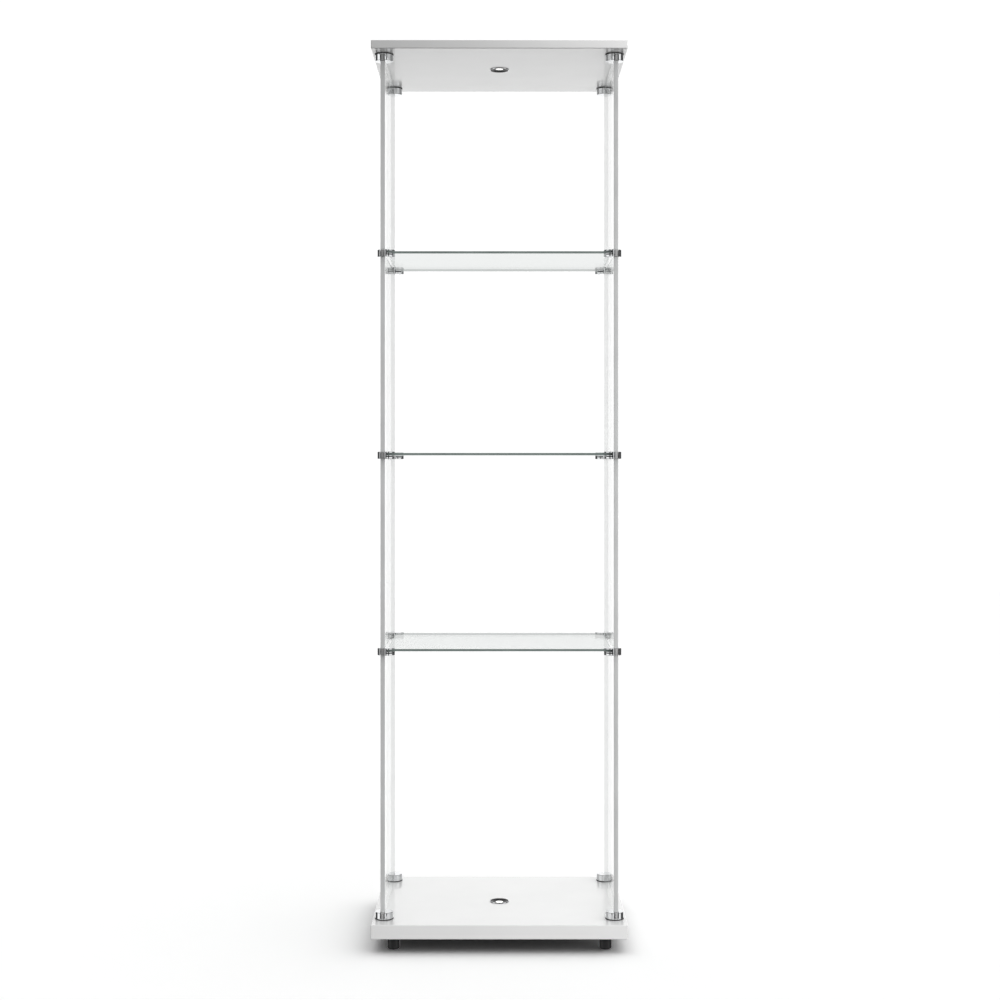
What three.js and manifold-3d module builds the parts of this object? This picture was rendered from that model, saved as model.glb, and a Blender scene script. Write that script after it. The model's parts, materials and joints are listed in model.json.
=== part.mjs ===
// Free-standing display case: two lacquered boards, two upright side panes, three glass shelves held by
// round chrome fittings, four levelling feet, and a recessed lamp in each board.
// Millimetres, +Z up. The origin is on the floor, under the middle of the case; the open front faces -Y.

import * as THREE from 'three';
import { mergeVertices } from 'three/addons/utils/BufferGeometryUtils.js';
import Module from 'manifold-3d';

const wasm = await Module();
wasm.setup();

// ---------------------------------------------------------------- driving dimensions

const BOARD_WIDTH = 450;
const BOARD_DEPTH = 350;
const BOARD_EDGE = 1;            // chamfer round each board's edges
const FOOT_HEIGHT = 25;
const BASE_THICKNESS = 25;
const TOP_THICKNESS = 15;
const TOTAL_HEIGHT = 1600;

const PANE_THICKNESS = 8;
const PANE_OUTER_X = 211;        // outer face of a side pane
const GLASS_FRONT_Y = -134;      // front edge of the panes and shelves
const GLASS_REAR_Y = 150;
const PANE_END_GAP = 4;          // between a pane's end and the board

const SHELF_THICKNESS = 4;
const SHELF_HALF_WIDTH = 200;
const SHELF_CORNER = 3;
const SHELF_LEVELS = { lower: 527, middle: 875, upper: 1233 };   // height of each shelf's middle plane

const FITTING_RADIUS = 16;
const FITTING_INSET = 4;         // from the glass's front or rear edge to a fitting's axis
const DISC_SEAT = 1.5;           // room for the washer between a disc and its board
const DISC_HEIGHT = 13;          // far face of a disc, from the board
const DISC_FLOOR = 3.4;          // floor of the disc's slot, from the board
const DISC_X = 204.5;
const CLIP_X = 201;
const CLIP_ABOVE = 4.1;         // top and bottom of a shelf fitting, from the shelf's middle plane
const CLIP_BELOW = 8.5;
const CLIP_WALL = 2.4;           // wall of the clip beside the pane

const CAP_STUD_RADIUS = 2;
const CAP_STUD_DROP = 5.2;       // stud axis below the shelf's middle plane
const CAP_STUD_INSET = 8;        // stud axis behind the fitting's axis, towards the middle of the pane
const CAP_STUD_LENGTH = 20;
const PANE_HOLE_RADIUS = 3;

const SCREW_X = 198;
const SCREW_RADIUS = 2.5;
const SCREW_HEAD_RADIUS = 5;
const SCREW_HEAD_DEPTH = 2.5;
const SCREW_SOCKET_RADIUS = 1.6;
const SCREW_SOCKET_DEPTH = 1.8;
const SCREW_IN_DISC = 6.5;

const FOOT_X = 187.5;
const FOOT_Y = 140;
const FOOT_RADIUS = 11;
const FOOT_EDGE = 1.5;
const STUD_RADIUS = 4;
const STUD_LENGTH = 18;

const LAMP_Y = -12;
const BEZEL_RADIUS = 18;
const BEZEL_RIM = 1.4;           // how far the bezel stands proud of the board
const BEZEL_LIP = 1.4;           // width of the rim before the dish begins
const BEZEL_THROAT_RADIUS = 14;
const BEZEL_THROAT_DEPTH = 5.4;
const LENS_RADIUS = 7;
const LENS_THICKNESS = 1.6;
const LENS_DEPTH = 1.2;          // face of the lens below the board's surface
const HOUSING_RADIUS = 14;
const HOUSING_DEPTH = 11;
const LEAD_RADIUS = 2;
const LEAD_DEPTH = 8;            // lead axis below the board's lit face
const SOCKET_RADIUS = 4;
const SOCKET_LENGTH = 16;
const SOCKET_BORE_RADIUS = 2.75;
const SOCKET_BORE_DEPTH = 9;

const GAP = 0.3;                 // clearance between neighbouring pieces
const ROUND_STEPS = 24;
const SMALL_STEPS = 12;

// ---------------------------------------------------------------- worked-out places

const BASE_BOTTOM = FOOT_HEIGHT;
const BASE_TOP = BASE_BOTTOM + BASE_THICKNESS;
const TOP_TOP = TOTAL_HEIGHT;
const TOP_BOTTOM = TOP_TOP - TOP_THICKNESS;
const PANE_INNER_X = PANE_OUTER_X - PANE_THICKNESS;
const FRONT_Y = GLASS_FRONT_Y + FITTING_INSET;
const REAR_Y = GLASS_REAR_Y - FITTING_INSET;
const BOARD_REAR_Y = BOARD_DEPTH / 2;

const corners = [
  { name: 'front_left', side: -1, y: FRONT_Y, inward: 1 },
  { name: 'front_right', side: 1, y: FRONT_Y, inward: 1 },
  { name: 'rear_left', side: -1, y: REAR_Y, inward: -1 },
  { name: 'rear_right', side: 1, y: REAR_Y, inward: -1 },
];

// ---------------------------------------------------------------- materials

function finish(color, roughness, metalness) {
  return new THREE.MeshStandardMaterial({ color, roughness, metalness });
}

const materials = {
  lacquer: () => finish('#f2f2f1', 0.22, 0),
  chrome: () => finish('#c9ccce', 0.08, 1),
  steel: () => finish('#9ea1a4', 0.3, 1),
  foot: () => finish('#141414', 0.5, 0),
  housing: () => finish('#2a2b2d', 0.6, 0),
  lens: () => finish('#fbfaf2', 0.35, 0),
  cable: () => finish('#1b1b1c', 0.6, 0),
  glass: () => new THREE.MeshStandardMaterial({
    color: '#dfeae5',
    roughness: 0.03,
    metalness: 0,
    transparent: true,
    opacity: 0.35,
  }),
};

// ---------------------------------------------------------------- solids

function solid(geometry) {
  const bare = geometry.clone();
  bare.deleteAttribute('normal');
  bare.deleteAttribute('uv');
  const merged = mergeVertices(bare, 1e-4);
  return new wasm.Manifold(new wasm.Mesh({
    numProp: 3,
    vertProperties: new Float32Array(merged.attributes.position.array),
    triVerts: new Uint32Array(merged.index.array),
  }));
}

function geometryOf(manifold) {
  const mesh = manifold.getMesh();
  const geometry = new THREE.BufferGeometry();
  geometry.setAttribute('position', new THREE.BufferAttribute(new Float32Array(mesh.vertProperties), 3));
  geometry.setIndex(new THREE.BufferAttribute(new Uint32Array(mesh.triVerts), 1));
  geometry.computeVertexNormals();
  return geometry;
}

function cut(geometry, tools) {
  let result = solid(geometry);
  for (const tool of tools) {
    result = result.subtract(solid(tool));
  }
  return geometryOf(result);
}

// A box between two corners.
function block([x0, y0, z0], [x1, y1, z1]) {
  const geometry = new THREE.BoxGeometry(x1 - x0, y1 - y0, z1 - z0);
  geometry.translate((x0 + x1) / 2, (y0 + y1) / 2, (z0 + z1) / 2);
  return geometry;
}

// A solid of revolution about +Z from [radius, height] pairs that run upwards on the outside.
function turned(profile, steps = ROUND_STEPS) {
  const points = profile.map(([radius, height]) => new THREE.Vector2(radius, height));
  const geometry = new THREE.LatheGeometry(points, steps);
  geometry.rotateX(Math.PI / 2);
  return geometry;
}

function rod(radius, z0, z1, steps = SMALL_STEPS) {
  return turned([[0, z0], [radius, z0], [radius, z1], [0, z1]], steps);
}

function rodAlongX(radius, x0, x1) {
  return rod(radius, x0, x1).rotateY(Math.PI / 2);
}

function rodAlongY(radius, y0, y1) {
  return rod(radius, -y1, -y0).rotateX(Math.PI / 2);
}

// A flat panel with rounded plan corners.
function panel(x0, x1, y0, y1, thickness, corner) {
  const shape = new THREE.Shape();
  shape.moveTo(x0 + corner, y0);
  shape.lineTo(x1 - corner, y0);
  shape.absarc(x1 - corner, y0 + corner, corner, -Math.PI / 2, 0, false);
  shape.lineTo(x1, y1 - corner);
  shape.absarc(x1 - corner, y1 - corner, corner, 0, Math.PI / 2, false);
  shape.lineTo(x0 + corner, y1);
  shape.absarc(x0 + corner, y1 - corner, corner, Math.PI / 2, Math.PI, false);
  shape.lineTo(x0, y0 + corner);
  shape.absarc(x0 + corner, y0 + corner, corner, Math.PI, 1.5 * Math.PI, false);
  const options = { depth: thickness, bevelEnabled: false, curveSegments: 4 };
  const geometry = new THREE.ExtrudeGeometry(shape, options);
  geometry.translate(0, 0, -thickness / 2);
  return geometry;
}

// ---------------------------------------------------------------- assembly helpers

const displayCase = new THREE.Group();
displayCase.name = 'display_case';

function add(name, geometry, material, parent = displayCase) {
  const mesh = new THREE.Mesh(geometry, material);
  mesh.name = name;
  parent.add(mesh);
  return mesh;
}

// Places a piece that is drawn for the right-hand side, with its own axis at the origin.
function atCorner(mesh, corner, x, z) {
  mesh.position.set(corner.side * x, corner.y, z);
  mesh.rotation.z = corner.side < 0 ? Math.PI : 0;
}

// ---------------------------------------------------------------- boards

function boardBlank(z0, z1) {
  const e = BOARD_EDGE;
  const shape = new THREE.Shape();
  const x = BOARD_WIDTH / 2 - e;
  const y = BOARD_DEPTH / 2 - e;
  shape.moveTo(-x, -y);
  shape.lineTo(x, -y);
  shape.lineTo(x, y);
  shape.lineTo(-x, y);
  shape.closePath();
  const geometry = new THREE.ExtrudeGeometry(shape, {
    depth: z1 - z0 - 2 * e,
    bevelEnabled: true,
    bevelThickness: e,
    bevelSize: e,
    bevelSegments: 1,
  });
  geometry.translate(0, 0, z0 + e);
  return geometry;
}

// Screw hole through a board, countersunk on the face away from the fittings.
function screwHole(corner, innerFace, outerFace) {
  const out = Math.sign(outerFace - innerFace);
  const shaft = SCREW_RADIUS + GAP;
  const head = SCREW_HEAD_RADIUS + GAP;
  const profile = [
    [0, innerFace - out],
    [shaft, innerFace - out],
    [shaft, outerFace - out * (SCREW_HEAD_DEPTH + GAP)],
    [head, outerFace - out * GAP],
    [head, outerFace + out],
    [0, outerFace + out],
  ];
  if (out < 0) {
    profile.reverse();
  }
  return turned(profile, SMALL_STEPS).translate(corner.side * SCREW_X, corner.y, 0);
}

// Pocket for a lamp and the bore for its lead, which opens in the board's rear edge.
function lampCavity(litFace, into) {
  const mouth = litFace - into;
  const end = litFace + into * (HOUSING_DEPTH + GAP);
  const pocket = rod(HOUSING_RADIUS + GAP, Math.min(mouth, end), Math.max(mouth, end), ROUND_STEPS);
  pocket.translate(0, LAMP_Y, 0);
  const leadZ = litFace + into * LEAD_DEPTH;
  const lead = rodAlongY(LEAD_RADIUS + GAP, LAMP_Y, BOARD_REAR_Y + 1).translate(0, 0, leadZ);
  const socketStart = BOARD_REAR_Y - SOCKET_LENGTH - 1;
  const socket = rodAlongY(SOCKET_RADIUS + GAP, socketStart, BOARD_REAR_Y + 1).translate(0, 0, leadZ);
  return [pocket, lead, socket];
}

function footHole(side, y) {
  const top = BASE_BOTTOM + STUD_LENGTH + 2;
  return rod(STUD_RADIUS + GAP, BASE_BOTTOM - 1, top).translate(side * FOOT_X, y, 0);
}

function addBoards() {
  const baseTools = lampCavity(BASE_TOP, -1);
  const topTools = lampCavity(TOP_BOTTOM, 1);
  for (const corner of corners) {
    baseTools.push(screwHole(corner, BASE_TOP, BASE_BOTTOM));
    baseTools.push(footHole(corner.side, -corner.inward * FOOT_Y));
    topTools.push(screwHole(corner, TOP_BOTTOM, TOP_TOP));
  }
  add('base_board', cut(boardBlank(BASE_BOTTOM, BASE_TOP), baseTools), materials.lacquer());
  add('top_board', cut(boardBlank(TOP_BOTTOM, TOP_TOP), topTools), materials.lacquer());
}

// ---------------------------------------------------------------- glass

function addSidePanes() {
  const z0 = BASE_TOP + PANE_END_GAP;
  const z1 = TOP_BOTTOM - PANE_END_GAP;
  for (const side of [-1, 1]) {
    const near = Math.min(side * PANE_INNER_X, side * PANE_OUTER_X);
    const blank = block([near, GLASS_FRONT_Y, z0], [near + PANE_THICKNESS, GLASS_REAR_Y, z1]);
    const holes = [];
    for (const level of Object.values(SHELF_LEVELS)) {
      for (const corner of corners.filter((each) => each.side === side)) {
        const hole = rodAlongX(PANE_HOLE_RADIUS, near - 1, near + PANE_THICKNESS + 1);
        hole.translate(0, corner.y + corner.inward * CAP_STUD_INSET, level - CAP_STUD_DROP);
        holes.push(hole);
      }
    }
    add(side < 0 ? 'side_glass_left' : 'side_glass_right', cut(blank, holes), materials.glass());
  }
}

function addShelves() {
  for (const [name, level] of Object.entries(SHELF_LEVELS)) {
    const w = SHELF_HALF_WIDTH;
    const shelf = panel(-w, w, GLASS_FRONT_Y, GLASS_REAR_Y, SHELF_THICKNESS, SHELF_CORNER);
    add(`shelf_${name}`, shelf, materials.glass()).position.z = level;
  }
}

// ---------------------------------------------------------------- board discs and their screws

// Slotted disc over the board face z = 0, with its slot open upwards, front and rear.
function boardDisc() {
  const r = FITTING_RADIUS;
  const blank = rod(r, DISC_SEAT, DISC_HEIGHT, ROUND_STEPS);
  const slotX0 = PANE_INNER_X - DISC_X - GAP;
  const slotX1 = PANE_OUTER_X - DISC_X + GAP;
  const slot = block([slotX0, -r - 1, DISC_FLOOR], [slotX1, r + 1, DISC_HEIGHT + 1]);
  const tapped = rod(SCREW_RADIUS + GAP, -1, SCREW_IN_DISC + 1).translate(SCREW_X - DISC_X, 0, 0);
  return cut(blank, [slot, tapped]);
}

// Countersunk screw, head down, its head face at z = 0.
function boardScrew(boardThickness) {
  const tip = boardThickness + SCREW_IN_DISC;
  return turned([
    [0, SCREW_SOCKET_DEPTH],
    [SCREW_SOCKET_RADIUS, SCREW_SOCKET_DEPTH],
    [SCREW_SOCKET_RADIUS, 0],
    [SCREW_HEAD_RADIUS, 0],
    [SCREW_RADIUS, SCREW_HEAD_DEPTH],
    [SCREW_RADIUS, tip - 1],
    [SCREW_RADIUS - 1, tip],
    [0, tip],
  ], SMALL_STEPS);
}

function addBoardFittings() {
  for (const corner of corners) {
    const baseDisc = add(`base_disc_${corner.name}`, boardDisc(), materials.chrome());
    atCorner(baseDisc, corner, DISC_X, BASE_TOP);
    const topDisc = add(`top_disc_${corner.name}`, boardDisc(), materials.chrome());
    atCorner(topDisc, corner, DISC_X, TOP_BOTTOM);
    // Turned over about Y, so the slot, drawn for the right, faces down on the other side.
    topDisc.rotation.set(0, Math.PI, corner.side < 0 ? 0 : Math.PI);

    const baseScrew = add(`base_screw_${corner.name}`, boardScrew(BASE_THICKNESS), materials.steel());
    baseScrew.position.set(corner.side * SCREW_X, corner.y, BASE_BOTTOM);
    const topScrew = add(`top_screw_${corner.name}`, boardScrew(TOP_THICKNESS), materials.steel());
    topScrew.position.set(corner.side * SCREW_X, corner.y, TOP_TOP);
    topScrew.rotation.x = Math.PI;
  }
}

// ---------------------------------------------------------------- shelf fittings

function fittingBlank() {
  return rod(FITTING_RADIUS, -CLIP_BELOW, CLIP_ABOVE, ROUND_STEPS);
}

// Inner part of a shelf fitting: a wall beside the pane and two jaws over and under the shelf.
function shelfClip(studY) {
  const r = FITTING_RADIUS + 1;
  const faceX = PANE_INNER_X - CLIP_X - GAP;
  const outside = block([faceX, -r, -r], [r, r, r]);
  const halfSlot = SHELF_THICKNESS / 2 + GAP;
  const shelfSlot = block([-r, -r, -halfSlot], [faceX - CLIP_WALL, r, halfSlot]);
  const hole = rodAlongX(CAP_STUD_RADIUS + GAP, PANE_OUTER_X - CLIP_X - CAP_STUD_LENGTH - 1, r);
  hole.translate(0, studY, -CAP_STUD_DROP);
  return cut(fittingBlank(), [outside, shelfSlot, hole]);
}

// Outer part of a shelf fitting: the segment outside the pane, with the stud that ties it to the clip.
function shelfCap(studY) {
  const r = FITTING_RADIUS + 1;
  const faceX = PANE_OUTER_X - CLIP_X + GAP;
  const segment = solid(fittingBlank()).subtract(solid(block([-r, -r, -r], [faceX, r, r])));
  const stud = rodAlongX(CAP_STUD_RADIUS, faceX - CAP_STUD_LENGTH, faceX + 1);
  stud.translate(0, studY, -CAP_STUD_DROP);
  return geometryOf(segment.add(solid(stud)));
}

function addShelfFittings() {
  for (const [levelName, level] of Object.entries(SHELF_LEVELS)) {
    for (const corner of corners) {
      const studY = corner.side * corner.inward * CAP_STUD_INSET;
      const clip = add(`shelf_clip_${levelName}_${corner.name}`, shelfClip(studY), materials.chrome());
      atCorner(clip, corner, CLIP_X, level);
      const cap = add(`shelf_cap_${levelName}_${corner.name}`, shelfCap(studY), materials.chrome());
      atCorner(cap, corner, CLIP_X, level);
    }
  }
}

// ---------------------------------------------------------------- levelling feet

// Foot with its threaded stud, standing on z = 0.
function levellingFoot() {
  const top = FOOT_HEIGHT - GAP;
  return turned([
    [0, 0],
    [FOOT_RADIUS - FOOT_EDGE, 0],
    [FOOT_RADIUS, FOOT_EDGE],
    [FOOT_RADIUS, top],
    [STUD_RADIUS, top],
    [STUD_RADIUS, FOOT_HEIGHT + STUD_LENGTH - 1],
    [STUD_RADIUS - 1, FOOT_HEIGHT + STUD_LENGTH],
    [0, FOOT_HEIGHT + STUD_LENGTH],
  ]);
}

function addFeet() {
  for (const corner of corners) {
    const foot = add(`foot_${corner.name}`, levellingFoot(), materials.foot());
    foot.position.set(corner.side * FOOT_X, -corner.inward * FOOT_Y, 0);
  }
}

// ---------------------------------------------------------------- lamps

// Chrome bezel: a flange on the board and a shallow dish that narrows to the lens. The lit face is z = 0.
function lampBezel() {
  return turned([
    [LENS_RADIUS, -LENS_DEPTH],
    [LENS_RADIUS, -BEZEL_THROAT_DEPTH],
    [BEZEL_THROAT_RADIUS, -BEZEL_THROAT_DEPTH],
    [BEZEL_THROAT_RADIUS, GAP],
    [BEZEL_RADIUS, GAP],
    [BEZEL_RADIUS - 0.8, BEZEL_RIM],
    [BEZEL_RADIUS - BEZEL_LIP, BEZEL_RIM],
    [LENS_RADIUS, -LENS_DEPTH],
  ]);
}

function lampLens() {
  const r = LENS_RADIUS - GAP;
  return turned([
    [0, -LENS_DEPTH - LENS_THICKNESS],
    [r, -LENS_DEPTH - LENS_THICKNESS],
    [r, -LENS_DEPTH - 0.4],
    [r - 1.4, -LENS_DEPTH],
    [0, -LENS_DEPTH + 0.2],
  ]);
}

function lampHousing() {
  const rim = -BEZEL_THROAT_DEPTH - GAP;
  return turned([
    [0, -HOUSING_DEPTH],
    [HOUSING_RADIUS - 1, -HOUSING_DEPTH],
    [HOUSING_RADIUS, -HOUSING_DEPTH + 1],
    [HOUSING_RADIUS, rim],
    [0, rim],
  ]);
}

// Lead with its moulded socket, running from the housing to the rear edge along +Y.
function lampLead() {
  const start = HOUSING_RADIUS + GAP;
  const end = BOARD_REAR_Y - LAMP_Y - 0.5;
  const neck = end - SOCKET_LENGTH;
  const lead = turned([
    [0, start],
    [LEAD_RADIUS, start],
    [LEAD_RADIUS, neck],
    [SOCKET_RADIUS, neck],
    [SOCKET_RADIUS, end],
    [SOCKET_BORE_RADIUS, end],
    [SOCKET_BORE_RADIUS, end - SOCKET_BORE_DEPTH],
    [0, end - SOCKET_BORE_DEPTH],
  ], SMALL_STEPS);
  lead.rotateX(-Math.PI / 2);
  return lead;
}

function addLamp(name, litFace, turnedOver) {
  const lamp = new THREE.Group();
  add(`lamp_bezel_${name}`, lampBezel(), materials.chrome(), lamp);
  add(`lamp_lens_${name}`, lampLens(), materials.lens(), lamp);
  add(`lamp_housing_${name}`, lampHousing(), materials.housing(), lamp);
  const lead = add(`lamp_lead_${name}`, lampLead(), materials.cable(), lamp);
  lead.position.z = -LEAD_DEPTH;
  lamp.position.set(0, LAMP_Y, litFace);
  lamp.rotation.y = turnedOver ? Math.PI : 0;
  displayCase.add(lamp);
}

// ---------------------------------------------------------------- the case

addBoards();
addSidePanes();
addShelves();
addBoardFittings();
addShelfFittings();
addFeet();
addLamp('base', BASE_TOP, false);
addLamp('top', TOP_BOTTOM, true);

export default displayCase;
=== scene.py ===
import json
import math

import bmesh
import bpy
from mathutils import Matrix, Vector

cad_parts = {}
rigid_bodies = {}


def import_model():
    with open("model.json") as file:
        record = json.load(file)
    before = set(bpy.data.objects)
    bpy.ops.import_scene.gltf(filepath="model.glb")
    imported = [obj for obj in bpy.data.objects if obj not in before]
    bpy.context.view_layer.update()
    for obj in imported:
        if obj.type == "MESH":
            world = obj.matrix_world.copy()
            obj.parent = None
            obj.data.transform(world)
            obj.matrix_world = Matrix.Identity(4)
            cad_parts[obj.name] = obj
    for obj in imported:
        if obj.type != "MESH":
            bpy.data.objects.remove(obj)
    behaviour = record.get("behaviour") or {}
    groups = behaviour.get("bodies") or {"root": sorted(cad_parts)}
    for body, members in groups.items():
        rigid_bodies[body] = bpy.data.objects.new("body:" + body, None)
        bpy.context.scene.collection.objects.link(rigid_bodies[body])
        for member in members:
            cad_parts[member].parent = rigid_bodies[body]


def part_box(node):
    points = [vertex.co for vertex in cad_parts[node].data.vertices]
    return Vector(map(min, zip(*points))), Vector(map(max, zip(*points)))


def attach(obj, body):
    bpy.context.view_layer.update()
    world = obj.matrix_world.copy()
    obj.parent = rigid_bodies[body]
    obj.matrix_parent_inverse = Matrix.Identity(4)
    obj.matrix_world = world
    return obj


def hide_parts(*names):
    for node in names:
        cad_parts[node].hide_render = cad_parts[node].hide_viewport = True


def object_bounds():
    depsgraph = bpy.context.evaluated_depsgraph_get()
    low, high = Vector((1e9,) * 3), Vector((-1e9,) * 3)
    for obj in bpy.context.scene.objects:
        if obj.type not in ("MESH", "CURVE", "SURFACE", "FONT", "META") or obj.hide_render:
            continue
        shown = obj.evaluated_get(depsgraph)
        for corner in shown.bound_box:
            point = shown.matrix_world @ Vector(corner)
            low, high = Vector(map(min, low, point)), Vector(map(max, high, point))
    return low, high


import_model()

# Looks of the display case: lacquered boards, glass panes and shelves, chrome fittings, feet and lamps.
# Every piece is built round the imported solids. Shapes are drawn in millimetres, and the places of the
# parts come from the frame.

MM = 0.001
ROUND = 96                 # sides of a turned piece
SMALL_ROUND = 48           # sides of a screw, stud or lead
CLEAR = 0.02               # air left round a liner, mm
OVERRUN = 2                # how far a cutter runs past the face that it cuts, mm
CAD_BOX = [list(corner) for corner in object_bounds()]

LEVELS = ("lower", "middle", "upper")
CORNERS = ("front_left", "front_right", "rear_left", "rear_right")


# ---------- places from the frame

def centre(node):
    low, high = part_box(node)
    return (low + high) / 2


def size(node):
    low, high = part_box(node)
    return high - low


BASE_LOW, BASE_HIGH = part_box("base_board")
TOP_LOW, TOP_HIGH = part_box("top_board")
DECK = BASE_HIGH.z                       # lit face of the base board
CEILING = TOP_LOW.z                      # lit face of the top board
DISC_LOW, DISC_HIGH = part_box("base_disc_front_right")
DISC_RADIUS = (DISC_HIGH.x - DISC_LOW.x) / 2 / MM
DISC_SEAT = (DISC_LOW.z - DECK) / MM
DISC_HEIGHT = (DISC_HIGH.z - DECK) / MM
DISC_X = centre("base_disc_front_right").x / MM
PANE_LOW, PANE_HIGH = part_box("side_glass_right")
PANE_INNER = PANE_LOW.x / MM
PANE_OUTER = PANE_HIGH.x / MM
PANE_START = (PANE_LOW.z - DECK) / MM    # lower end of a pane above the deck
CLIP_LOW, CLIP_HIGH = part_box("shelf_clip_lower_front_right")
CLIP_RADIUS = (CLIP_HIGH.y - CLIP_LOW.y) / 2 / MM
CLIP_X = CLIP_LOW.x / MM + CLIP_RADIUS
CLIP_FACE = CLIP_HIGH.x / MM - CLIP_X    # flat face of a clip, from the fitting's axis
SHELF_Z = centre("shelf_lower").z
SHELF_HALF = size("shelf_lower").z / 2 / MM
CLIP_ABOVE = (CLIP_HIGH.z - SHELF_Z) / MM
CLIP_BELOW = (SHELF_Z - CLIP_LOW.z) / MM
GLASS_FRONT = PANE_LOW.y / MM
FITTING_FRONT = centre("base_disc_front_right").y / MM
FITTING_INSET = FITTING_FRONT - GLASS_FRONT

SLOT_GAP = 0.3             # between glass and metal, each side
CLIP_WALL = 2.4            # metal of a clip between the shelf and the pane
STUD_RADIUS = 2.0
STUD_LENGTH = 20.0
STUD_INSET = 8.0           # from a fitting's axis, away from the pane's upright edge
STUD_DROP = 5.2            # below the middle of the shelf
STUD_FIT = 0.1             # air round a stud in its hole
BUSH_RADIUS = 2.92
BUSH_FIT = 0.06
BUSH_SHORT = 0.05          # how far a bush stays inside the pane's faces
SOFT_EDGE = 0.3            # rounding of the edges that a cut leaves
FAR = CLIP_RADIUS + 4      # beyond every part of a fitting, from its axis


def side_of(corner):
    return 1 if corner.endswith("right") else -1


def inward_of(corner):
    return 1 if corner.startswith("front") else -1


# ---------- material nodes

NOISE_LOW = 0.3            # a noise texture's values lie mostly between these two
NOISE_HIGH = 0.7
SCHLICK_POWER = 5.0
FACE_ON_SHARE = 0.04       # what glass mirrors when it is seen square on
# strength of the white glow that paints part of a sheet's reflection
PAINTED_GLOW_STRENGTH = 0.95


def node(tree, kind, inputs=None, **settings):
    """Adds a node. An input that is a socket is linked; anything else is set as its value."""
    made = tree.nodes.new(kind)
    for key, value in settings.items():
        setattr(made, key, value)
    for key, value in (inputs or {}).items():
        if isinstance(value, bpy.types.NodeSocket):
            tree.links.new(value, made.inputs[key])
        else:
            made.inputs[key].default_value = value
    return made


def maths(tree, operation, first, second=0.0, clamp=False):
    made = node(tree, "ShaderNodeMath", {0: first, 1: second}, operation=operation, use_clamp=clamp)
    return made.outputs[0]


def new_material(name):
    material = bpy.data.materials.new(name)
    material.use_nodes = True
    material.node_tree.nodes.clear()
    tree = material.node_tree
    return material, tree, node(tree, "ShaderNodeOutputMaterial")


def place(tree, stretch=(1, 1, 1)):
    """Object coordinates in millimetres, stretched along an axis for brushed or ground finishes."""
    coordinates = node(tree, "ShaderNodeTexCoord").outputs["Object"]
    scale = [1 / MM * part for part in stretch]
    return node(tree, "ShaderNodeMapping", {"Vector": coordinates, "Scale": scale}).outputs["Vector"]


def noise(tree, vector, per_mm, detail=2.0, roughness=0.5):
    inputs = {"Vector": vector, "Scale": per_mm, "Detail": detail, "Roughness": roughness}
    return node(tree, "ShaderNodeTexNoise", inputs).outputs["Fac"]


def between(tree, factor, low, high):
    inputs = {
        "Value": factor, "From Min": NOISE_LOW, "From Max": NOISE_HIGH, "To Min": low, "To Max": high,
    }
    return node(tree, "ShaderNodeMapRange", inputs).outputs["Result"]


def shade(tree, factor, dark, light):
    """A colour between two, by a noise factor."""
    ramp = node(tree, "ShaderNodeValToRGB", {"Fac": factor})
    ends = ((NOISE_LOW, dark), (NOISE_HIGH, light))
    for element, (position, colour) in zip(ramp.color_ramp.elements, ends):
        element.position = position
        element.color = (*colour, 1)
    return ramp.outputs["Color"]


def bump(tree, height, strength, depth_mm):
    inputs = {"Height": height, "Strength": strength, "Distance": depth_mm * MM}
    return node(tree, "ShaderNodeBump", inputs).outputs["Normal"]


def principled(tree, output, inputs):
    shader = node(tree, "ShaderNodeBsdfPrincipled", inputs)
    tree.links.new(shader.outputs["BSDF"], output.inputs["Surface"])


def lacquer():
    material, tree, output = new_material("white_lacquer")
    where = place(tree)
    peel = noise(tree, where, 0.22, 3.0)
    cloud = noise(tree, where, 0.012, 2.0)
    principled(tree, output, {
        "Base Color": shade(tree, cloud, (0.80, 0.80, 0.797), (0.83, 0.83, 0.827)),
        "Roughness": between(tree, peel, 0.3, 0.36),
        "Coat Weight": 0.7,
        "Coat Roughness": between(tree, cloud, 0.05, 0.09),
        "Normal": bump(tree, peel, 0.12, 0.012),
    })
    return material


def chrome():
    material, tree, output = new_material("chrome")
    where = place(tree)
    haze = noise(tree, where, 0.35, 4.0)
    wave = noise(tree, where, 0.12, 1.0)
    principled(tree, output, {
        "Base Color": shade(tree, haze, (0.74, 0.75, 0.76), (0.80, 0.81, 0.82)),
        "Metallic": 1.0,
        "Roughness": between(tree, haze, 0.05, 0.11),
        "Normal": bump(tree, wave, 0.15, 0.02),
    })
    return material


def turned_metal(name, dark, light, roughness):
    """Metal with the fine rings of a lathe round its own vertical axis."""
    material, tree, output = new_material(name)
    where = place(tree)
    rings = node(tree, "ShaderNodeTexWave", {
        "Vector": where, "Scale": 1.6, "Distortion": 0.6, "Detail": 2.0,
    }, wave_type="RINGS", rings_direction="Z").outputs["Fac"]
    patch = noise(tree, where, 0.3, 3.0)
    principled(tree, output, {
        "Base Color": shade(tree, patch, dark, light),
        "Metallic": 1.0,
        "Roughness": between(tree, patch, roughness, roughness + 0.1),
        "Normal": bump(tree, rings, 0.12, 0.02),
    })
    return material


def moulded(name, dark, light, roughness, grain_per_mm, depth_mm):
    """Plastic, rubber or a fine coat with a spark-eroded or fibrous grain."""
    material, tree, output = new_material(name)
    where = place(tree)
    grain = noise(tree, where, grain_per_mm, 4.0, 0.6)
    patch = noise(tree, where, 0.08, 2.0)
    principled(tree, output, {
        "Base Color": shade(tree, patch, dark, light),
        "Roughness": between(tree, grain, roughness, roughness + 0.12),
        "Normal": bump(tree, grain, 0.4, depth_mm),
    })
    return material


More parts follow.
